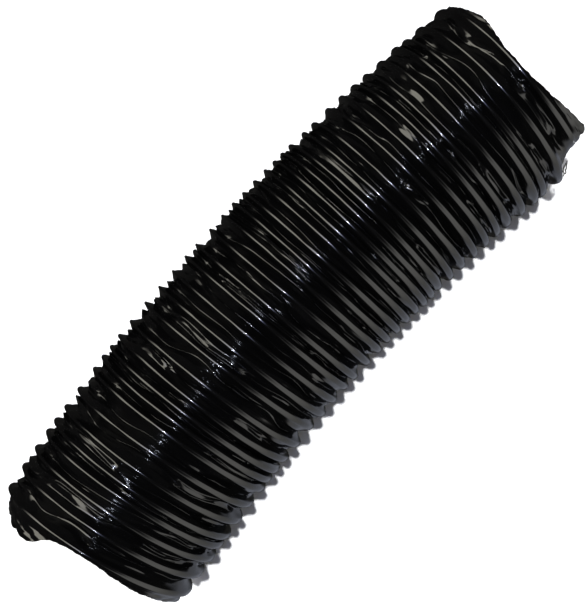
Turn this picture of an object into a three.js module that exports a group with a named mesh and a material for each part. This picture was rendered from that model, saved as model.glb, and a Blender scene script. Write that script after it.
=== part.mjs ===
// Short cut length of wire-reinforced flexible air duct, lying on its side.
// A spring-steel helix runs between an outer and an inner film ply; both ends are cut raw.
// Millimetres, +Z up. The duct runs along X in a gentle arc and rests on z = 0.
import * as THREE from 'three';

// Cross-section
const RIB_R = 54;            // outside of a rib, for a duct of 4 inch nominal bore
const VALLEY_R = 51.7;       // outside of the film midway between two ribs
const RIB_WIDTH = 2.8;       // width of the film where it goes over the wire
const OUTER_FILM = 0.5;      // thickness of the outer ply
const INNER_FILM = 0.4;      // thickness of the inner ply
const INNER_PLY_R = 50.8;    // outside of the inner ply
const WIRE_D = 1.4;          // spring-steel wire
const COIL_R = 52.35;        // centre of the wire from the duct's axis
const FIT_GAP = 0.3;         // between pieces that would touch

// Lengthwise
const ARC_R = 1040;          // radius of the arc it lies in, bulging toward +Y
const GAPS = [               // from one turn of wire to the next, along the top
  12, 11, 8.5, 6, 10, 10.5, 11.5, 6.5, 6, 7.5, 9.5, 11.5,
  10, 10, 9.5, 7.5, 10, 9, 7.5, 7.5, 7.5, 7, 6.5, 5.5,
  6.5, 7.5, 8, 9.5, 8.5, 8.5, 7.5, 9.5, 10, 5.5, 10.5, 13.5,
];
const TURNS = GAPS.length + 1;

// Both ends are cut raw. How far the film reaches past the end turns where they cross the
// top, going round from +Y over the top to -Y and underneath
const TAIL_START = [12.6, 13, 11, 3.4, 2.1, 4, 5, 4.4, 4, 4.5, 6.5, 9, 10.5, 11, 12, 12.5];
const TAIL_END = [3, 2.5, 3.7, 1.9, 3, 9.5, 5, -8.5, -7.5, -6, -4, -1.5, -0.5, 1, 3, 4];
const TAIL_SLOPE = 3.5;      // from an end rib down to the flat of the tail
const INNER_START = 2;       // the inner ply is cut square, this far past the end turns
const INNER_END = -9;
const WIRE_START = 0.5;      // in turns: the wire's first end is underneath
const WIRE_END = 37.147;     // and its last end is above the -Y side

// How the plies are split along the duct, in turns of wire
const OUTER_SPLIT = [2, 3, 3, 3, 3, 3, 3, 3, 3, 3, 3, 3, 2];
const INNER_SPLIT = [5, 5, 5, 7, 5, 5, 5];

// Facets
const SIDES = 16;            // flats round the duct: one faces straight down
const WIRE_SIDES = 5;

const TURN = 2 * Math.PI;
const BOTTOM = -Math.PI / 2;
const STEP = TURN / SIDES;
const corners = Array.from({ length: SIDES }, (_, i) => BOTTOM + (i + 0.5) * STEP);

// Where each turn crosses the top, measured along the axis from the middle of the coil
const LENGTH = GAPS.reduce((sum, gap) => sum + gap, 0);
const crossing = [-LENGTH / 2];
for (const gap of GAPS) crossing.push(crossing.at(-1) + gap);

// Pitch of the helix as it crosses the top on a given turn
function pitch(turn) {
  const before = GAPS[Math.max(turn - 2, 0)];
  const after = GAPS[Math.min(turn - 1, GAPS.length - 1)];
  return (before + after) / 2;
}

// The helix: place along the axis after a number of turns, whole at the top
function along(turns) {
  const turn = Math.min(Math.max(Math.floor(turns), 1), TURNS - 1);
  const f = turns - turn;
  const a = crossing[turn - 1];
  const b = crossing[turn];
  if (f < 0) return a + f * pitch(turn);
  if (f > 1) return b + (f - 1) * pitch(turn + 1);
  const rise = (f - 2 * f * f + f ** 3) * pitch(turn);
  const fall = (f ** 3 - f * f) * pitch(turn + 1);
  return a + (3 * f * f - 2 * f ** 3) * (b - a) + rise + fall;
}

const turnsAt = (turn, angle) => turn + (angle - Math.PI / 2) / TURN;
const wireAt = (turn, angle) => along(turnsAt(turn, angle));

// Lays a point of the straight duct into the arc; its radius is measured to the flats
function place(s, radius, angle) {
  const offFlat = angle - BOTTOM - STEP * Math.round((angle - BOTTOM) / STEP);
  const reach = radius / Math.cos(offFlat);
  const across = ARC_R + reach * Math.cos(angle);
  const swing = s / ARC_R;
  return [across * Math.sin(swing), across * Math.cos(swing) - ARC_R, reach * Math.sin(angle)];
}

function meshFrom(points, faces, name, material) {
  const geometry = new THREE.BufferGeometry();
  geometry.setAttribute('position', new THREE.Float32BufferAttribute(points.flat(), 3));
  geometry.setIndex(faces.flat());
  const facets = geometry.toNonIndexed();
  facets.computeVertexNormals();
  const mesh = new THREE.Mesh(facets, material);
  mesh.name = name;
  return mesh;
}

// One turn of the helix, butt-cut underneath where it meets its neighbours
function wireTurn(turn, name, material) {
  const half = FIT_GAP / 2 / COIL_R;
  const last = Math.min(BOTTOM + TURN - half, Math.PI / 2 + (WIRE_END - turn) * TURN);
  const stations = [BOTTOM + half, ...corners.filter((angle) => angle < last), last];

  const points = [];
  for (const angle of stations) {
    for (let j = 0; j < WIRE_SIDES; j += 1) {
      const around = TURN * j / WIRE_SIDES;
      const s = wireAt(turn, angle) + WIRE_D / 2 * Math.sin(around);
      points.push(place(s, COIL_R + WIRE_D / 2 * Math.cos(around), angle));
    }
  }

  const faces = [];
  for (let i = 0; i + 1 < stations.length; i += 1) {
    for (let j = 0; j < WIRE_SIDES; j += 1) {
      const a = i * WIRE_SIDES + j;
      const b = i * WIRE_SIDES + (j + 1) % WIRE_SIDES;
      faces.push([a, a + WIRE_SIDES, b], [b, a + WIRE_SIDES, b + WIRE_SIDES]);
    }
  }
  const cap = points.length - WIRE_SIDES;
  for (let j = 1; j + 1 < WIRE_SIDES; j += 1) {
    faces.push([0, j, j + 1], [cap, cap + j + 1, cap + j]);
  }
  return meshFrom(points, faces, name, material);
}

// The outer ply along one line of the duct: over each rib, down to each valley.
// A knot's order says which rib or valley it is, so that neighbouring lines can be joined.
function plyKnots(angle) {
  const cover = 0.6 / SIDES;   // the film goes on over the wire's ends as far as the next line
  const ribs = [];
  for (let turn = 0; turn <= TURNS + 1; turn += 1) {
    const turns = turnsAt(turn, angle);
    if (turns > WIRE_START - cover && turns < WIRE_END + cover) ribs.push(turn);
  }
  const knots = [{ order: 3 * ribs[0] - 1, s: wireAt(ribs[0], angle) - TAIL_SLOPE, radius: VALLEY_R }];
  for (const turn of ribs) {
    const s = wireAt(turn, angle);
    const valley = turn < ribs.at(-1) ? (s + wireAt(turn + 1, angle)) / 2 : s + TAIL_SLOPE;
    knots.push({ order: 3 * turn, s: s - RIB_WIDTH / 2, radius: RIB_R });
    knots.push({ order: 3 * turn + 1, s: s + RIB_WIDTH / 2, radius: RIB_R });
    knots.push({ order: 3 * turn + 2, s: valley, radius: VALLEY_R });
  }
  return knots;
}

function radiusAt(knots, s) {
  const i = knots.findIndex((knot) => knot.s > s);
  if (i < 0) return knots.at(-1).radius;
  if (i === 0) return knots[0].radius;
  const f = (s - knots[i - 1].s) / (knots[i].s - knots[i - 1].s);
  return knots[i - 1].radius + f * (knots[i].radius - knots[i - 1].radius);
}

// The stretch of one line between two places, with a knot at each end
function cutLine(knots, from, to) {
  const inside = knots.filter((knot) => knot.s > from + 0.4 && knot.s < to - 0.4);
  return [
    { order: -Infinity, s: from, radius: radiusAt(knots, from) },
    ...inside,
    { order: Infinity, s: to, radius: radiusAt(knots, to) },
  ];
}

// A tube wall of even thickness whose lines may hold different numbers of knots
function sleeve(lines, thickness, name, material) {
  const points = [];
  const indexed = lines.map((line, i) => line.map((knot) => {
    const outside = points.push(place(knot.s, knot.radius, corners[i])) - 1;
    const inside = points.push(place(knot.s, knot.radius - thickness, corners[i])) - 1;
    return { order: knot.order, outside, inside };
  }));

  const faces = [];
  const wall = (a, b, c) => {
    faces.push([a.outside, b.outside, c.outside], [a.inside, c.inside, b.inside]);
  };
  indexed.forEach((line, i) => {
    // the helix has climbed one turn, three knots, by the time it is back at the first line
    const climbed = i + 1 < SIDES ? 0 : 3;
    const other = indexed[(i + 1) % SIDES].map((knot) => ({ ...knot, order: knot.order - climbed }));
    let a = 0;
    let b = 0;
    while (a + 1 < line.length || b + 1 < other.length) {
      const nextA = a + 1 < line.length ? line[a + 1].order : Infinity;
      const nextB = b + 1 < other.length ? other[b + 1].order : Infinity;
      const stepA = a + 1 < line.length && nextA <= nextB;
      const stepB = b + 1 < other.length && nextB <= nextA;
      if (stepA) wall(line[a], other[b], line[a + 1]);
      if (stepA) a += 1;
      if (stepB) wall(line[a], other[b], other[b + 1]);
      if (stepB) b += 1;
    }
    const ends = [[line[0], other[0]], [other.at(-1), line.at(-1)]];
    for (const [p, q] of ends) {
      faces.push([p.outside, p.inside, q.outside], [q.outside, p.inside, q.inside]);
    }
  });
  return meshFrom(points, faces, name, material);
}

// Planes that split a ply, halfway between two turns at the top
function splitPlanes(split) {
  const planes = [];
  let turn = 0;
  for (const turns of split.slice(0, -1)) {
    turn += turns;
    planes.push((crossing[turn - 1] + crossing[turn]) / 2);
  }
  return planes;
}

const label = (i) => String(i).padStart(2, '0');
const wire = new THREE.MeshStandardMaterial({ color: 0x8d9094, roughness: 0.35, metalness: 1 });
const outerFilm = new THREE.MeshStandardMaterial({ color: 0x0b0b0d, roughness: 0.28, metalness: 0 });
const innerFilm = new THREE.MeshStandardMaterial({ color: 0x121214, roughness: 0.4, metalness: 0 });

const group = new THREE.Group();
group.name = 'flexible_air_duct';

for (let turn = 1; turn <= TURNS; turn += 1) {
  group.add(wireTurn(turn, `wire_turn_${label(turn)}`, wire.clone()));
}

const outerPlanes = splitPlanes(OUTER_SPLIT);
OUTER_SPLIT.forEach((turns, n) => {
  const lines = corners.map((angle, i) => {
    // the lines start at the bottom and the tail tables at +Y, a quarter turn on
    const tail = (i + SIDES * 3 / 4) % SIDES;
    const from = n > 0 ? outerPlanes[n - 1] + FIT_GAP / 2 : crossing[0] - TAIL_START[tail];
    const to = n < outerPlanes.length ? outerPlanes[n] - FIT_GAP / 2 : crossing.at(-1) + TAIL_END[tail];
    return cutLine(plyKnots(angle), from, to);
  });
  group.add(sleeve(lines, OUTER_FILM, `outer_film_${label(n + 1)}`, outerFilm.clone()));
});

const innerPlanes = splitPlanes(INNER_SPLIT);
INNER_SPLIT.forEach((turns, n) => {
  const from = n > 0 ? innerPlanes[n - 1] + FIT_GAP / 2 : crossing[0] - INNER_START;
  const to = n < innerPlanes.length ? innerPlanes[n] - FIT_GAP / 2 : crossing.at(-1) + INNER_END;
  const line = [
    { order: -Infinity, s: from, radius: INNER_PLY_R },
    { order: Infinity, s: to, radius: INNER_PLY_R },
  ];
  const lines = corners.map(() => line);
  group.add(sleeve(lines, INNER_FILM, `inner_film_${label(n + 1)}`, innerFilm.clone()));
});

// Stand it on z = 0 with the middle of its outline over the origin
const box = new THREE.Box3().setFromObject(group);
const middle = box.getCenter(new THREE.Vector3());
for (const mesh of group.children) {
  mesh.geometry.translate(-middle.x, -middle.y, -box.min.z);
}

export default group;
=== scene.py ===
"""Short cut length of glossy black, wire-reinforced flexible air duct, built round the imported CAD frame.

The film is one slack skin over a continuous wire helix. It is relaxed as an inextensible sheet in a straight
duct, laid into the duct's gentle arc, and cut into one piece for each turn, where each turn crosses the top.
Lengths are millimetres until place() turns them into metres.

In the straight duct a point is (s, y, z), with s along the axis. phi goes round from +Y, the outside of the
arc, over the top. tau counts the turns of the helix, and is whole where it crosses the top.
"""

import math

import bpy
import numpy as np
from mathutils import Matrix, Vector


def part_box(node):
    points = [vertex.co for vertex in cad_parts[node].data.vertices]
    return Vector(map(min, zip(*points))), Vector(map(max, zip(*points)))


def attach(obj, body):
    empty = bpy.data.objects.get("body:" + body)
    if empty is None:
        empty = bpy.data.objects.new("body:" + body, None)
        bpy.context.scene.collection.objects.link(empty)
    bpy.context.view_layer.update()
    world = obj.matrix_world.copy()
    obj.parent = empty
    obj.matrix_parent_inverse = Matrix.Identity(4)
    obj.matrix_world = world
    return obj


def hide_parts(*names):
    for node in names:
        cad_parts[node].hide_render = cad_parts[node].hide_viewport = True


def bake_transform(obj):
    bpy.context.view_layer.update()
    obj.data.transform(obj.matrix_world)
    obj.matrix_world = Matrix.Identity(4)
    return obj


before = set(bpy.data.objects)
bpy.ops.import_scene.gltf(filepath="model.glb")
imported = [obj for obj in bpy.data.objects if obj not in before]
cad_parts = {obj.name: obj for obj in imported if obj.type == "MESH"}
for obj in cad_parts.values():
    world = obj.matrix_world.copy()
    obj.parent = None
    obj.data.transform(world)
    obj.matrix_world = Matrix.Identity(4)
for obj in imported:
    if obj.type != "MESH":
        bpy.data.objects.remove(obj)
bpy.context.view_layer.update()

# ---------------------------------------------------------------- the duct, as in the CAD
GAPS = [
    12, 11, 8.5, 6, 10, 10.5, 11.5, 6.5, 6, 7.5, 9.5, 11.5,
    10, 10, 9.5, 7.5, 10, 9, 7.5, 7.5, 7.5, 7, 6.5, 5.5,
    6.5, 7.5, 8, 9.5, 8.5, 8.5, 7.5, 9.5, 10, 5.5, 10.5, 13.5,
]
TURNS = len(GAPS) + 1
ARC_R = 1040.0
RIB_R = 54.0
COIL_R = 52.35
WIRE_R = 0.7
WIRE_START, WIRE_END = 0.5, 37.147      # in turns
SHIFT = (4.457191, 5.483313, 54.0)      # from the middle of the coil to the row frame
TURN = 2 * math.pi
TOP = math.pi / 2
crossing = np.concatenate([[0.0], np.cumsum(GAPS)]) - sum(GAPS) / 2


def pitch(turn):
    gaps = np.array(GAPS, float)
    last = len(GAPS) - 1
    return (gaps[np.clip(turn - 2, 0, last)] + gaps[np.clip(turn - 1, 0, last)]) / 2


def along(tau):
    """Place of the helix along the axis after so many turns: a cubic through its crossings of the top."""
    tau = np.asarray(tau, float)
    turn = np.clip(np.floor(tau).astype(int), 1, TURNS - 1)
    f = tau - turn
    a, b = crossing[turn - 1], crossing[turn]
    before, after = pitch(turn), pitch(turn + 1)
    inside = a + (3 * f**2 - 2 * f**3) * (b - a) + (f - 2 * f**2 + f**3) * before + (f**3 - f**2) * after
    return np.where(f < 0, a + f * before, np.where(f > 1, b + (f - 1) * after, inside))


def place(p):
    """Points (s, y, z) of the straight duct, laid into the arc, in metres in the row frame."""
    s, y, z = p[..., 0], p[..., 1], p[..., 2]
    swing = s / ARC_R
    reach = ARC_R + y
    out = np.stack([reach * np.sin(swing), reach * np.cos(swing) - ARC_R, z], -1)
    return (out + np.array(SHIFT)) / 1000


def turned(points, vectors):
    """Directions in the straight duct, turned as the arc turns them."""
    swing = points[:, 0] / ARC_R
    cos, sin = np.cos(swing), np.sin(swing)
    x = vectors[:, 0] * cos + vectors[:, 1] * sin
    y = -vectors[:, 0] * sin + vectors[:, 1] * cos
    out = np.stack([x, y, vectors[:, 2]], -1)
    return out / np.maximum(np.linalg.norm(out, axis=1), 1e-9)[:, None]


def across(radius, phi):
    """y and z of a place round the duct."""
    return radius * np.cos(phi), radius * np.sin(phi)


def ramp(x, a, b):
    """0 up to a, 1 from b, smooth between."""
    f = np.clip((x - a) / (b - a), 0, 1)
    return f * f * (3 - 2 * f)


# ---------------------------------------------------------------- film: the grid
PER_TURN = 300                          # rows in a turn
FREE = 13                               # columns of loose film between two ribs
T_FROM, T_TO = -1.6, 38.6               # the turns that the grid covers, past both ends of the wire
CREST_S = np.array([0, 0.55, 1.02, 1.35])                   # half of a rib's section, from its crest
CREST_R = RIB_R - np.array([0, 0.06, 0.34, 0.95])
CREST = len(CREST_S)
COLUMNS = 2 * CREST + FREE - 1          # the next rib's crest is the first column one turn on
ROWS = int(round((T_TO - T_FROM) * PER_TURN)) + 1
FALL = np.array([0, 0.24, 0.44, 0.5, 0.62, 0.82, 0.95, 1])  # columns, from a rib to the fold in the middle

rng = np.random.default_rng(451)


def smooth_noise(count, knots_per_turn, rows=1):
    """Seeded smooth noise along the helix, about 1 in size: a cubic spline with so many knots in a turn."""
    spacing = PER_TURN / knots_per_turn
    knots = rng.standard_normal((rows, int(count / spacing) + 6))
    x = np.arange(count) / spacing + 1.5
    i = x.astype(int)
    f = x - i
    a, b, c, d = (knots[:, i + k] for k in (-1, 0, 1, 2))
    out = (1 - f) ** 3 * a + (3 * f**3 - 6 * f**2 + 4) * b + (-3 * f**3 + 3 * f**2 + 3 * f + 1) * c + f**3 * d
    return out / 6 * 1.45


def real(tau):
    """1 where there is wire after tau turns, 0 past its two ends."""
    return ramp(tau, WIRE_START - 0.03, WIRE_START + 0.02) * (1 - ramp(tau, WIRE_END - 0.03, WIRE_END + 0.02))


def rib_width(phi):
    """Ribs are narrow and sharp on the outside of the arc, and broad and round on the inside."""
    side = np.cos(phi)
    return 0.98 - 0.10 * ramp(side, 0.05, 0.4) - 0.26 * ramp(side, 0.6, 0.9) + 0.50 * ramp(side, -0.05, -0.5)


turns = T_FROM + np.arange(ROWS) / PER_TURN
angle = TOP + TURN * turns
wobble_s = 0.30 * smooth_noise(ROWS + PER_TURN, 7)[0]       # the wire's own unevenness
wobble_r = 0.16 * smooth_noise(ROWS + PER_TURN, 9)[0]

# each row goes from the crest of one rib to the crest of the next
left = along(turns) + wobble_s[:ROWS]
right = along(turns + 1) + wobble_s[PER_TURN:]
left_r, right_r = wobble_r[:ROWS], wobble_r[PER_TURN:]
half = CREST_S * rib_width(angle)[:, None]
opening = right - left - 2 * half[:, -1]

s0 = np.empty((ROWS, COLUMNS + 1))
r0 = np.empty((ROWS, COLUMNS + 1))
s0[:, :CREST] = left[:, None] + half
s0[:, -CREST:] = right[:, None] - half[:, ::-1]
r0[:, :CREST] = CREST_R + left_r[:, None]
r0[:, -CREST:] = CREST_R[::-1] + right_r[:, None]

outside = ramp(np.cos(angle), 0.74, 0.90)                   # 1 on the outside of the arc
modes = smooth_noise(ROWS, 36, 3)
fine_modes = smooth_noise(ROWS, 80, 3)
slow = smooth_noise(ROWS, 19, 4)

# the fold wanders between the ribs, and is single, or double where double_share is 1
apex = np.clip(0.5 + 0.17 * slow[1] + 0.05 * modes[1], 0.22, 0.78)[:, None]
share = np.concatenate([apex * FALL[1:], 1 - (1 - apex) * FALL[-2:0:-1]], 1)    # of the opening
to_fold = np.concatenate([FALL[1:], FALL[-2:0:-1]])[None, :]
ridge = np.clip(0.34 + 0.22 * slow[2] + 0.10 * modes[2], 0.05, 0.95)[:, None]
double = np.minimum(to_fold * 2, ridge + (1 - ridge) * (1 - to_fold) * 2)
double_share = np.clip(outside + 0.8 * ramp(slow[3], 0.7, 1.2), 0, 1)[:, None]
open_mm = opening[:, None]
deep = np.minimum(1.05 * open_mm, 2.7 + 0.20 * open_mm) * np.clip(1 + 0.12 * slow[0], 0.7, 1.3)[:, None]
fold = deep * (to_fold * (1 - double_share) + double * double_share * 0.72)
base_r = (CREST_R[-1] + (left_r + right_r) / 2)[:, None] - fold

s0[:, CREST:-CREST] = (left + half[:, -1])[:, None] + opening[:, None] * share
r0[:, CREST:-CREST] = base_r
for m, size in enumerate((0.26, 0.22, 0.12)):
    wave = modes[m] * (1 - 0.4 * outside) + 0.9 * outside * fine_modes[m]
    r0[:, CREST:-CREST] += size * wave[:, None] * np.sin((m + 1) * math.pi * share)
film = np.stack([s0, *across(r0, angle[:, None])], -1).astype(np.float32)

# ---------------------------------------------------------------- film: relaxed as an inextensible sheet
ROUNDS = 120
SLACK_ACROSS, SLACK_ROUND = 1.01, 1.005
SHEAR_STIFFNESS = 0.35
FOLD_STIFFNESS = np.float32(0.3)
STIFFEN_EVERY = 4                       # rounds
DEEPEST, HIGHEST = RIB_R - 6.0, RIB_R - 0.25


def pull(a, b, rest, wa, wb, stiff=1.0):
    """Moves both ends of many links toward their rest length, each by its weight: 0 is pinned."""
    d = b - a
    length = np.sqrt((d * d).sum(-1)) + 1e-6
    d *= ((length - rest) / length * stiff)[..., None]
    total = np.maximum(wa + wb, 1)
    a += d * (wa / total)[..., None]
    b -= d * (wb / total)[..., None]


def relax(p, rounds):
    lo, hi = CREST - 1, COLUMNS + 1 - CREST + 1     # the free columns and one pinned one on each side
    weight = np.zeros(COLUMNS + 1, np.float32)
    weight[CREST:-CREST] = 1
    calm = r0.copy()
    calm[:, CREST:-CREST] = base_r
    width = np.hypot(np.diff(s0[:, lo:hi]), np.diff(calm[:, lo:hi])) * SLACK_ACROSS
    ring = TURN * calm[:, lo:hi] * SLACK_ROUND / PER_TURN
    diagonal = np.sqrt(width**2 + ring[:, :-1] ** 2 / 2 + ring[:, 1:] ** 2 / 2)
    width, ring, diagonal = (v.astype(np.float32) for v in (width, ring, diagonal))

    band = p[:, lo:hi]
    w = weight[lo:hi]
    n = hi - lo
    loose = np.ones((1, n - 2), np.float32)
    for step in range(rounds):
        for start in (0, 1):
            stop = start + 2 * ((n - start) // 2)
            a, b = slice(start, stop, 2), slice(start + 1, stop, 2)
            pull(band[:, a], band[:, b], width[:, a], w[a][None], w[b][None])
        for start in (0, 1):
            stop = start + 2 * ((ROWS - start) // 2)
            a, b = slice(start, stop, 2), slice(start + 1, stop, 2)
            pull(band[a, 1:-1], band[b, 1:-1], ring[a, 1:-1], loose, loose)
        i, c = step % 2, (step // 2) % 2            # the diagonals take turns
        rows, cols = i + 2 * ((ROWS - i) // 2), c + 2 * ((n - c) // 2)
        a, b = slice(i, rows, 2), slice(i + 1, rows, 2)
        u, v = slice(c, cols, 2), slice(c + 1, cols, 2)
        rest = diagonal[a, u]
        pull(band[a, u], band[b, v], rest, w[u][None], w[v][None], SHEAR_STIFFNESS)
        pull(band[b, u], band[a, v], rest, w[u][None], w[v][None], SHEAR_STIFFNESS)
        if step % STIFFEN_EVERY == 0:               # along the folds, which leaves them sharp across
            bend = np.zeros_like(band)
            bend[1:-1] = (band[2:] + band[:-2]) / 2 - band[1:-1]
            again = (bend[2:] + bend[:-2]) / 2 - bend[1:-1]
            band[1:-1, 1:-1] -= FOLD_STIFFNESS * again[:, 1:-1]
    radius = np.sqrt(band[..., 1] ** 2 + band[..., 2] ** 2)
    held = np.clip(radius, DEEPEST, HIGHEST)
    band[:, 1:-1, 1:] *= (held / radius)[:, 1:-1, None]
    return p


film = relax(film, ROUNDS).astype(float)

# ---------------------------------------------------------------- film: fine creases and rough crests
NET_COLUMNS, NET_WIDE = 7, 2.6          # knots across a valley, and the columns between two of them
FEW_COLUMNS, FEW_WIDE = 4, 6
ROUGH_COLUMNS = 3                       # on each side of a crest


def across_valley(knots, wide):
    """A smooth random surface over the free columns, from one row of noise for each knot across."""
    column = np.arange(FREE)
    near = (np.clip(1 - np.abs(column / wide - k + 0.5), 0, 1) for k in range(len(knots)))
    return sum(weight[None, :] * row[:, None] for weight, row in zip(near, knots))


knots = smooth_noise(ROWS, 26, 12)      # the last row isn't used, but later draws depend on it
net = across_valley(knots[:NET_COLUMNS], NET_WIDE)
few = ramp(across_valley(knots[NET_COLUMNS:NET_COLUMNS + FEW_COLUMNS], FEW_WIDE), -0.3, 0.5)
lift = 0.95 * few * (0.35 - np.abs(net)) * np.sin(math.pi * share) ** 0.5      # creases run where net is 0
rough = 0.05 * smooth_noise(ROWS, 70, 2 * ROUGH_COLUMNS) * real(turns)
rough[ROUGH_COLUMNS:] *= real(turns + 1) / np.maximum(real(turns), 1e-9) * (real(turns) > 0)
film[:, CREST:-CREST, 1] += lift * np.cos(angle)[:, None]
film[:, CREST:-CREST, 2] += lift * np.sin(angle)[:, None]
for k in range(ROUGH_COLUMNS):
    for column, wave in ((1 + k, rough[k]), (-2 - k, rough[ROUGH_COLUMNS + k])):
        film[:, column, 1] += wave * np.cos(angle)
        film[:, column, 2] += wave * np.sin(angle)

# ---------------------------------------------------------------- film: the loose tails past the end turns
START_TAIL = 7, 0.34                    # seed, and how fast the film droops inward past the wire
END_TAIL = 27, 0.08


def waves(phi, s, counts, lengths, seed):
    """Smooth noise on the duct's surface that closes on itself round the duct."""
    dice = np.random.default_rng(seed)
    out = 0
    for m in counts:
        slant = s * TURN / dice.uniform(*lengths) * dice.choice([-1, 1])
        out = out + np.cos(m * phi + slant + dice.uniform(0, TURN))
    return out / math.sqrt(len(counts) / 2)


def tail_radius(over, seed, droop):
    """Radius of the loose film, `over` past the last rib's crest."""
    past = np.clip(over - CREST_S[-1] * rib_width(PHI), 0, None)
    crest = np.interp(over / rib_width(PHI), CREST_S, CREST_R)
    sink = 1.3 + 0.5 * waves(PHI, 0 * s0, (2, 3, 5, 7), (30, 60), seed)
    flap = 0.11 * waves(PHI, 0 * s0, (1, 2, 3, 4, 6), (30, 60), seed + 1) - droop
    crease = np.abs(waves(PHI, s0, (1, 3, 4, 6), (7, 13), seed + 2)) - 0.8
    crumple = np.abs(waves(PHI, s0, (9, 12, 15, 19), (8, 20), seed + 3)) - 0.8
    grow = 1 - np.exp(-past / 2.5)
    return crest - sink * (1 - np.exp(-past / 1.2)) + flap * past + grow * (0.75 * crease + 0.25 * crumple)


def wire_s(tau):
    row = (tau - T_FROM) * PER_TURN
    return along(tau) + np.interp(row, np.arange(ROWS + PER_TURN), wobble_s)


T = turns[:, None]
PHI = np.broadcast_to(angle[:, None], s0.shape)
on_left, on_right = real(T), real(T + 1)
start_half = T < TURNS // 2

start_tail = on_right * tail_radius(wire_s(T + 1) - s0, *START_TAIL)
start_tail = start_tail + (1 - on_right) * tail_radius(wire_s(T + 2) - s0, *START_TAIL)
end_tail = on_left * tail_radius(s0 - wire_s(T), *END_TAIL)
end_tail = end_tail + (1 - on_left) * tail_radius(s0 - wire_s(T - 1), *END_TAIL)
tail = np.stack([s0, *across(np.where(start_half, start_tail, end_tail), PHI)], -1)
between_ribs = np.where(start_half, on_left, on_right)[..., None]
film = between_ribs * film + (1 - between_ribs) * tail

# ---------------------------------------------------------------- plies: one skin, its normals and its back
OUTER_PLY = 0.28                        # thickness
LINING_DEPTH, INNER_PLY = 0.62, 0.22    # of the inner ply's outside below the skin, and its thickness
# how much deeper a ply's back lies under a rib, by column from the crest, to go round the inside of the wire
OVER_WIRE = np.array([2.4, 2.35, 1.95, 1.25, 0.6, 0.2, 0.05])


def grid_faces(rows, columns, per_turn):
    """Triangles of a grid wound on the duct, whose last column meets the first one a turn on."""
    def index(row, column):
        return np.where(column < columns, row * columns + column, (row + per_turn) * columns)

    row, column = np.meshgrid(np.arange(rows - 1), np.arange(columns), indexing="ij")
    whole = (column + 1 < columns) | (row + 1 + per_turn < rows)
    row, column = row[whole], column[whole]
    corners = [index(row, column), index(row + 1, column), index(row + 1, column + 1), index(row, column + 1)]
    q = np.stack(corners, -1)
    return np.concatenate([q[:, [0, 2, 1]], q[:, [0, 3, 2]]])


def vertex_normals(points, tri):
    a, b, c = (points[tri[:, k]] for k in range(3))
    n = np.cross(b - a, c - a)
    parts = [sum(np.bincount(tri[:, k], n[:, j], len(points)) for k in range(3)) for j in range(3)]
    out = np.stack(parts, -1)
    return out / np.maximum(np.linalg.norm(out, axis=1), 1e-12)[:, None]


def facing_out(points, tri):
    """The triangles turned to face away from the duct's axis, and their normals."""
    normal = vertex_normals(points, tri)
    if (normal * (points * [0, 1, 1])).sum() < 0:
        return tri[:, ::-1], -normal
    return tri, normal


skin = film[:, :COLUMNS].reshape(-1, 3)
skin_faces, skin_normal = facing_out(skin, grid_faces(ROWS, COLUMNS, PER_TURN))

over_wire = np.zeros((ROWS, COLUMNS))
over_wire[:, :len(OVER_WIRE)] += real(T) * OVER_WIRE
over_wire[:, 1 - len(OVER_WIRE):] += real(T + 1) * OVER_WIRE[:0:-1]
over_wire = over_wire.reshape(-1, 1)
radial = skin * [0, 1, 1]
radial /= np.linalg.norm(radial, axis=1)[:, None]
toward = skin_normal + (radial - skin_normal) * np.clip(over_wire, 0, 1)
toward /= np.linalg.norm(toward, axis=1)[:, None]


def inward(depth):
    """The skin moved in by a depth, and further under a rib."""
    return skin - toward * (depth + over_wire)


# ---------------------------------------------------------------- plies: cutting
START_CUT = [  # degrees round from +Y over the top, and how far past the end turn's place at the top
    (0, 12.9), (12, 12.8), (27, 12.4), (31, 13.6), (38, 13.2), (44, 12.6), (49, 13.3), (57, 12.6), (63, 8.2),
    (69, 4.6), (75, 3.6), (84, 2.2), (95, 1.9), (104, 2.6), (112, 3.4), (125, 4.6), (140, 4.9), (152, 5.0),
    (166, 4.3), (180, 3.8), (200, 4.4), (225, 6.5), (250, 9.5), (270, 10.8), (300, 11.4), (330, 12.6),
    (350, 12.8),
]
END_CUT = [
    (0, 1.9), (14, 0.9), (22, 0.6), (34, 2.6), (47, 4.9), (54, 4.2), (65, 2.2), (75, 0.8), (88, 1.1),
    (96, 1.9), (103, 3.4), (112, 5.2), (124, 8.0), (133, 9.8), (139, 10.9), (143, 6.8), (148, 1.2),
    (153, -4.4), (157, -8.6), (163, -9.4), (175, -8.6), (190, -7.6), (215, -6.0), (240, -3.4), (265, -1.4),
    (290, 0.0), (315, 1.2), (340, 2.6), (352, 2.8),
]
START_SEED, END_SEED = 70, 71
RAGGED = 0.16


def cut_at(phi, points, seed):
    degrees, past = np.array(points, float).T
    turn_on = np.mod(np.degrees(phi), 360)
    line = np.interp(turn_on, np.append(degrees, 360), np.append(past, past[0]))
    return line + RAGGED * waves(phi, 0 * phi, (19, 31, 47, 71, 97), (1, 2), seed)


def inside_ends(points):
    """How far each point lies inside the raw cut at the start, and at the end."""
    phi = np.arctan2(points[:, 2], points[:, 1])
    start = points[:, 0] - (crossing[0] - cut_at(phi, START_CUT, START_SEED))
    end = (crossing[-1] + cut_at(phi, END_CUT, END_SEED)) - points[:, 0]
    return start, end


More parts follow.
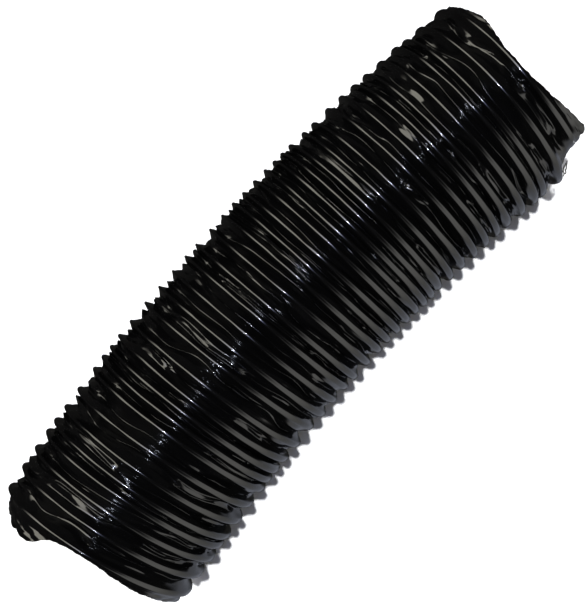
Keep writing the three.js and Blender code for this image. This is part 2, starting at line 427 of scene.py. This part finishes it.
def clip(data, tri, level):
    """The part of the triangles where level >= 0. Points on the cut are shared by the triangles beside it."""
    inside = level[tri] >= 0
    count = inside.sum(1)
    kept, corners, pairs = [tri[count == 3]], [], []
    total = len(data)
    for n in (1, 2):
        some, ins = tri[count == n], inside[count == n]
        k = (ins if n == 1 else ~ins).argmax(1)
        a, b, c = (some[np.arange(len(some)), (k + j) % 3] for j in range(3))
        corners.append((n, b, c, a))
        pairs += [np.stack([np.minimum(a, x), np.maximum(a, x)], -1) for x in (b, c)]
    pairs = np.concatenate(pairs)
    if not len(pairs):
        return data, kept[0]
    keys, where = np.unique(pairs[:, 0] * np.int64(total) + pairs[:, 1], return_inverse=True)
    where = where.ravel() + total
    lo, hi = keys // total, keys % total
    f = (level[lo] / (level[lo] - level[hi]))[:, None]
    data = np.concatenate([data, data[lo] + f * (data[hi] - data[lo])])
    at = 0
    for n, b, c, a in corners:
        ab, ac = where[at:at + len(a)], where[at + len(a):at + 2 * len(a)]
        at += 2 * len(a)
        if n == 1:
            kept.append(np.stack([a, ab, ac], -1))
        else:
            kept += [np.stack([ab, b, c], -1), np.stack([ab, c, ac], -1)]
    return data, np.concatenate(kept)


def boundary(tri):
    """The edges that only one triangle has, as that triangle goes round."""
    edges = np.concatenate([tri[:, [0, 1]], tri[:, [1, 2]], tri[:, [2, 0]]])
    big = np.int64(tri.max() + 1)
    keys = edges.min(1) * big + edges.max(1)
    _, first, counts = np.unique(keys, return_index=True, return_counts=True)
    return edges[first[counts == 1]]


def used(data, tri):
    """Only the points that the triangles use."""
    ids, where = np.unique(tri, return_inverse=True)
    return data[ids], where.reshape(-1, 3)


# ---------------------------------------------------------------- plies: pieces
def new_mesh(name, points, tri, normals, look):
    mesh = bpy.data.meshes.new(name)
    mesh.vertices.add(len(points))
    mesh.vertices.foreach_set("co", np.ascontiguousarray(points, np.float32).ravel())
    mesh.loops.add(3 * len(tri))
    mesh.loops.foreach_set("vertex_index", tri.ravel().astype(np.int32))
    mesh.polygons.add(len(tri))
    mesh.polygons.foreach_set("loop_start", (3 * np.arange(len(tri))).astype(np.int32))
    mesh.update(calc_edges=True)
    mesh.polygons.foreach_set("use_smooth", np.ones(len(tri), bool))
    if normals is not None:
        mesh.normals_split_custom_set_from_vertices(normals.astype(np.float32).tolist())
    mesh.materials.append(look)
    ob = bpy.data.objects.new(name, mesh)
    bpy.context.scene.collection.objects.link(ob)
    return ob


def join(ob, k):
    """Rides the first or last turn past the ends; anywhere else the piece's transform is baked into its mesh.
    """
    if k == 0 or k == TURNS:
        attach(ob, f"turn_{max(k, 1):02d}")
        return
    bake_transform(ob)


def shell(data, tri):
    """A closed piece from the two faces of a ply: data holds each point's outside, back and normal."""
    data, tri = used(data, tri)
    n = len(data)
    points = np.concatenate([place(data[:, 0:3]), place(data[:, 3:6])])
    normals = turned(data[:, 0:3], data[:, 6:9])
    a, b = boundary(tri).T
    faces = [tri, tri[:, ::-1] + n, np.stack([b, a, a + n], -1), np.stack([b, a + n, b + n], -1)]
    return points, np.concatenate(faces), np.concatenate([normals, -normals])


def node_span(node):
    """Where along the duct a CAD node starts and ends."""
    low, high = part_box(node)
    return [ARC_R * math.asin(max(-1, min(1, (x * 1000 - SHIFT[0]) / ARC_R))) for x in (low[0], high[0])]


def ply(name, outside, back, normals, tri, look, slot):
    """Cuts a ply at both raw ends and where each turn crosses the top; join() attaches the two end pieces to
    the end turns.
    """
    nodes = sorted(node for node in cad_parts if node.startswith(slot + "_"))
    spans = [node_span(node) for node in nodes]
    start, end = inside_ends(outside)
    data = np.concatenate([outside, back, normals, end[:, None]], 1)
    data, tri = clip(data, tri, start)
    data, tri = used(*clip(data, tri, data[:, -1]))
    s = data[:, 0]
    edges = np.concatenate([[-1e9], crossing, [1e9]])
    for k in range(TURNS + 1):
        lo, hi = edges[k], edges[k + 1]
        part, t = used(data, tri[(s[tri].max(1) > lo) & (s[tri].min(1) < hi)])
        if k > 0:
            part, t = clip(part, t, part[:, 0] - lo)
        if k < TURNS:
            part, t = clip(part, t, hi - part[:, 0])
        points, faces, n = shell(part, t)
        ob = new_mesh(f"{name}_{k:02d}", points, faces, n, look)
        join(ob, k)
        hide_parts(*[node for node, (a, b) in zip(nodes, spans) if lo < b - 1 and hi > a + 1])


# ---------------------------------------------------------------- materials
class Look:
    """A procedural material on a Principled shader, whose noise is fixed to the object."""

    def __init__(self, name):
        self.material = bpy.data.materials.new(name)
        self.material.use_nodes = True
        self.nodes = self.material.node_tree.nodes
        self.links = self.material.node_tree.links
        self.shader = self.nodes["Principled BSDF"]

    def set(self, socket, value):
        self.shader.inputs[socket].default_value = value

    def drive(self, socket, output):
        self.links.new(output, self.shader.inputs[socket])

    def node(self, kind, links, **values):
        """A new node, with outputs of other nodes linked to some sockets and values set on others."""
        n = self.nodes.new(kind)
        for socket, output in links.items():
            self.links.new(output, n.inputs[socket])
        for socket, value in values.items():
            n.inputs[socket.replace("_", " ")].default_value = value
        return n

    def noise(self, scale, detail=2.0, roughness=0.5):
        where = self.nodes.new("ShaderNodeTexCoord").outputs["Object"]
        values = {"Scale": scale, "Detail": detail, "Roughness": roughness}
        return self.node("ShaderNodeTexNoise", {"Vector": where}, **values).outputs["Fac"]

    def spread(self, source, low, high, a=0.0, b=1.0):
        """The noise's values from a to b, spread from low to high."""
        values = {"From_Min": a, "From_Max": b, "To_Min": low, "To_Max": high}
        return self.node("ShaderNodeMapRange", {"Value": source}, **values).outputs["Result"]

    def shades(self, source, dark, light, a=0.0, b=1.0):
        n = self.node("ShaderNodeValToRGB", {"Fac": source})
        for element, position, colour in zip(n.color_ramp.elements, (a, b), (dark, light)):
            element.position = position
            element.color = (*colour, 1)
        return n.outputs["Color"]

    def bump(self, height, strength, distance):
        n = self.node("ShaderNodeBump", {"Height": height}, Strength=strength, Distance=distance)
        return n.outputs["Normal"]


def film_look(name, colour, roughness, grain):
    look = Look(name)
    haze = look.noise(28, 4)
    look.drive("Base Color", look.shades(haze, [c * 0.75 for c in colour], [c * 1.5 for c in colour]))
    look.drive("Roughness", look.spread(look.noise(160, 3), roughness - 0.03, roughness + 0.05, 0.3, 0.7))
    fine, wrinkle = look.noise(900, 2, 0.6), look.noise(260, 4, 0.6)
    height = look.node("ShaderNodeMath", {0: wrinkle, 2: fine})
    height.operation = "MULTIPLY_ADD"
    height.inputs[1].default_value = 3.0
    look.drive("Normal", look.bump(height.outputs["Value"], grain, 0.0002))
    return look.material


def wire_look():
    look = Look("galvanised_wire_look")
    look.set("Metallic", 1.0)
    spangle = look.noise(900, 4)
    look.drive("Base Color", look.shades(spangle, (0.30, 0.31, 0.32), (0.55, 0.56, 0.57), 0.3, 0.7))
    look.drive("Roughness", look.spread(spangle, 0.28, 0.5))
    look.drive("Normal", look.bump(spangle, 0.3, 0.00005))
    return look.material


def thread_look():
    look = Look("scrim_thread_look")
    look.set("Roughness", 0.8)
    look.drive("Base Color", look.shades(look.noise(1500), (0.02, 0.02, 0.02), (0.09, 0.09, 0.085)))
    return look.material


OUTER = film_look("outer_film_look", (0.0009, 0.0009, 0.001), 0.11, 0.015)
INNER = film_look("inner_film_look", (0.0022, 0.0022, 0.0024), 0.30, 0.08)
WIRE = wire_look()
THREAD = thread_look()

# ---------------------------------------------------------------- the plies
ply("film", skin, inward(OUTER_PLY), skin_normal, skin_faces, OUTER, "outer_film")

# the inner ply lies under the outer one, and shows only in the mouths: every second row and column will do
lining = inward(LINING_DEPTH).reshape(ROWS, COLUMNS, 3)[::2, ::2]
lining_faces = grid_faces(*lining.shape[:2], PER_TURN // 2)
lining = lining.reshape(-1, 3)
lining_faces, lining_normal = facing_out(lining, lining_faces)
ply("lining", lining, lining - INNER_PLY * lining_normal, lining_normal, lining_faces, INNER, "inner_film")

# ---------------------------------------------------------------- the wire
WIRE_SIDES, WIRE_STEPS = 10, 96         # round the wire, and in a turn


def sweep(path, radius, sides):
    """A round rod along a path of points in the straight duct."""
    path = np.asarray(path, float)
    tangent = np.gradient(path, axis=0)
    tangent /= np.linalg.norm(tangent, axis=1)[:, None]
    up = path * [0, 1, 1]
    up /= np.maximum(np.linalg.norm(up, axis=1), 1e-9)[:, None]
    side = np.cross(tangent, up)
    side /= np.linalg.norm(side, axis=1)[:, None]
    up = np.cross(side, tangent)
    a = (TURN * np.arange(sides) / sides)[None, :, None]
    ring = path[:, None] + radius * (np.cos(a) * up[:, None] + np.sin(a) * side[:, None])
    n = len(path)
    i, j = np.meshgrid(np.arange(n - 1), np.arange(sides), indexing="ij")
    i, j = i.ravel(), j.ravel()
    k = (j + 1) % sides
    q = np.stack([i * sides + j, (i + 1) * sides + j, (i + 1) * sides + k, i * sides + k], -1)
    cap = np.array([[0, m, m + 1] for m in range(1, sides - 1)])
    faces = np.concatenate([q[:, [0, 1, 2]], q[:, [0, 2, 3]], cap, cap[:, ::-1] + (n - 1) * sides])
    points = ring.reshape(-1, 3)
    a, b, c = (points[faces[:, k]] for k in range(3))
    volume = (a * np.cross(b, c)).sum() / 6
    return points, faces if volume > 0 else faces[:, ::-1]


def helix(tau):
    radius = COIL_R + np.interp((tau - T_FROM) * PER_TURN, np.arange(ROWS + PER_TURN), wobble_r)
    return np.stack([wire_s(tau), *across(radius, TOP + TURN * tau)], -1)


for k in range(TURNS + 1):
    lo, hi = max(k, WIRE_START), min(k + 1, WIRE_END)
    points, faces = sweep(helix(np.linspace(lo, hi, int(WIRE_STEPS * (hi - lo)) + 1)), WIRE_R, WIRE_SIDES)
    ob = new_mesh(f"wire_{k:02d}", place(points), faces, None, WIRE)
    join(ob, k)
    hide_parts(*sorted({f"wire_turn_{max(k, 1):02d}", f"wire_turn_{min(k + 1, TURNS):02d}"}))

# ---------------------------------------------------------------- loose scrim threads at the torn end
THREAD_R, THREAD_SIDES = 0.34, 6
THREADS = [  # past the last turn's place at the top, degrees round and radius, then steps of the same
    ((-6.0, 154, 52.6), [(-1.4, 2, 0.2), (-1.0, 2.5, 0.1), (-0.2, 3, -0.3), (0.6, 3, 0.2), (-0.8, 2.5, 0.6)]),
    ((-7.0, 155, 52.5), [(-1.2, 2, 0.3), (-0.6, 3, 0.6), (0.7, 3, 0.4), (1.0, 1, -0.6), (0.3, -2.5, -0.7)]),
    ((-4.8, 153, 52.4), [(-0.9, 2, 0.3), (-0.8, 2, 0.5), (-0.4, 2, 0.2)]),
]


def through(knots, per_knot):
    """A smooth curve through all the points."""
    f = np.linspace(0, len(knots) - 1, per_knot * len(knots))
    i = np.clip(f.astype(int), 0, len(knots) - 2)
    f = (f - i)[:, None]
    a, b, c, d = (knots[np.clip(i + k, 0, len(knots) - 1)] for k in (-1, 0, 1, 2))
    return 0.5 * (2 * b + (c - a) * f + (2 * a - 5 * b + 4 * c - d) * f**2 + (3 * b - a - 3 * c + d) * f**3)


for number, ((past, degrees, radius), steps) in enumerate(THREADS, 1):
    knots = [np.array((crossing[-1] + past, degrees, radius), float)]
    for step in steps:
        knots.append(knots[-1] + np.array(step))
    s, phi, r = through(np.array(knots), 8).T
    points, faces = sweep(np.stack([s, *across(r, np.radians(phi))], -1), THREAD_R, THREAD_SIDES)
    ob = new_mesh(f"thread_{number:02d}", place(points), faces, None, THREAD)
    join(ob, TURNS - 1)

# ---------------------------------------------------------------- floor and suns
FLOOR_HALF = 4.0
FLOOR_DROP = 0.0004                     # below the ribs that rest on it
SUN_WAY = (0.01, -math.tan(math.radians(7.6)), -1)          # the way that both suns' light goes


def lay_floor():
    h = FLOOR_HALF
    mesh = bpy.data.meshes.new("floor")
    mesh.from_pydata([(-h, -h, 0), (h, -h, 0), (h, h, 0), (-h, h, 0)], [], [(0, 1, 2, 3)])
    look = Look("floor_look")
    look.set("Base Color", (0.86, 0.86, 0.86, 1))
    look.set("Roughness", 0.9)
    mesh.materials.append(look.material)
    ob = bpy.data.objects.new("floor", mesh)
    bpy.context.scene.collection.objects.link(ob)
    ob.location.z = -FLOOR_DROP
    ob.visible_glossy = False           # what the film mirrors is all in the world below


def sun(name, angle_deg, strength, colour):
    light = bpy.data.lights.new(name, "SUN")
    light.angle = math.radians(angle_deg)
    light.energy = strength
    light.color = colour
    ob = bpy.data.objects.new(name, light)
    bpy.context.scene.collection.objects.link(ob)
    ob.rotation_euler = Vector(SUN_WAY).to_track_quat("-Z", "Y").to_euler()
    return ob


lay_floor()
sun("key", 1.6, 4.2, (0.98, 0.99, 1.0)).visible_glossy = False      # lights the floor, and casts the shadow
sun("flash", 1.2, 1.5, (0.78, 0.84, 1.0)).visible_diffuse = False   # glints in the film only

# ---------------------------------------------------------------- world: what the film mirrors, by direction
world = bpy.data.worlds.new("studio")
bpy.context.scene.world = world
world.use_nodes = True
wn, wl = world.node_tree.nodes, world.node_tree.links


def world_math(kind, a, b):
    m = wn.new("ShaderNodeMath")
    m.operation = kind
    for socket, value in zip(m.inputs, (a, b)):
        if isinstance(value, (int, float)):
            socket.default_value = value
        else:
            wl.new(value, socket)
    return m.outputs["Value"]


def times(first, *more):
    for value in more:
        first = world_math("MULTIPLY", first, value)
    return first


def toward_light(part, low, high):
    """0 where that part of a direction is `low` or past it, 1 at `high`, smooth between."""
    r = wn.new("ShaderNodeMapRange")
    r.interpolation_type = "SMOOTHSTEP"
    r.inputs["From Min"].default_value = low
    r.inputs["From Max"].default_value = high
    wl.new(part, r.inputs["Value"])
    return r.outputs["Result"]


def background(colour, strength):
    b = wn.new("ShaderNodeBackground")
    b.inputs["Color"].default_value = (*colour, 1)
    if isinstance(strength, (int, float)):
        b.inputs["Strength"].default_value = strength
    else:
        wl.new(strength, b.inputs["Strength"])
    return b.outputs[0]


def both(a, b):
    add = wn.new("ShaderNodeAddShader")
    wl.new(a, add.inputs[0])
    wl.new(b, add.inputs[1])
    return add.outputs[0]


def either(choice, a, b):
    """a where the choice is 0, b where it is 1."""
    mix = wn.new("ShaderNodeMixShader")
    for socket, output in zip(mix.inputs, (choice, a, b)):
        wl.new(output, socket)
    return mix.outputs[0]


split = wn.new("ShaderNodeSeparateXYZ")
wl.new(wn.new("ShaderNodeTexCoord").outputs["Generated"], split.inputs[0])
X, Y, Z = split.outputs
beside = world_math("ABSOLUTE", X, 0.0)
ray = wn.new("ShaderNodeLightPath").outputs
fill = world_math("SUBTRACT", 1.0, times(ray["Is Diffuse Ray"], 0.8))      # less light on what isn't glossy
mirrored_twice = world_math("GREATER_THAN", ray["Ray Depth"], 2.5)
once = world_math("SUBTRACT", 1.0, times(mirrored_twice, 0.9))

side = times(toward_light(Y, -0.15, -0.45), toward_light(Z, 0.86, 0.52), toward_light(beside, 0.66, 0.52))
wall = times(side, toward_light(Z, -0.85, 0.35), fill)
under = times(side, toward_light(Z, -0.25, -0.75), fill)
slit = times(toward_light(beside, 0.42, 0.32), toward_light(Y, 0.06, 0.20), toward_light(Z, -0.14, 0.38))
slit = times(slit, fill)
glow = times(toward_light(beside, 0.34, 0.20), toward_light(Z, 0.82, 0.94))
glow = times(glow, toward_light(Y, -0.06, 0.10), toward_light(Y, 0.50, 0.20))

lit = background((1.0, 0.97, 0.93), 0.022)                  # dim, all round
for level, colour, strength in (
    (wall, (1.0, 0.99, 0.94), 1.6),                         # a tall light beyond the inside of the arc
    (under, (0.80, 0.85, 1.0), 0.42),                       # a faint one under it
    (slit, (1.0, 0.97, 0.84), 4.6),                         # a narrow one beyond the outside of the arc
    (glow, (0.50, 0.56, 1.0), 3.2),                         # a bluish one nearly overhead
):
    lit = both(lit, background(colour, times(level, strength)))
lit = either(once, background((0.0, 0.0, 0.0), 0.0), lit)   # light that the film mirrors twice is nearly lost
lit = either(ray["Is Camera Ray"], lit, background((0.9, 0.9, 0.9), 1.0))
wl.new(lit, wn["World Output"].inputs["Surface"])

# ---------------------------------------------------------------- camera
CAMERA_AT = (0.0038, 0.0015, 0.777)     # it looks straight down
CAMERA_TURN = math.radians(47.7)        # of the picture's upward side, from +Y toward +X
UP = math.sin(CAMERA_TURN), math.cos(CAMERA_TURN)
RIGHT = UP[1], -UP[0]

camera_data = bpy.data.cameras.new("camera")
camera_data.lens = 83.0
camera_data.sensor_width = 36.0
camera_data.clip_start = 0.01
camera = bpy.data.objects.new("camera", camera_data)
bpy.context.scene.collection.objects.link(camera)
turn_matrix = Matrix(((RIGHT[0], UP[0], 0), (RIGHT[1], UP[1], 0), (0, 0, 1)))
camera.matrix_world = Matrix.Translation(CAMERA_AT) @ turn_matrix.to_4x4()
bpy.context.scene.camera = camera
bpy.context.scene.view_settings.view_transform = "Standard"
bpy.context.scene.view_settings.look = "None"
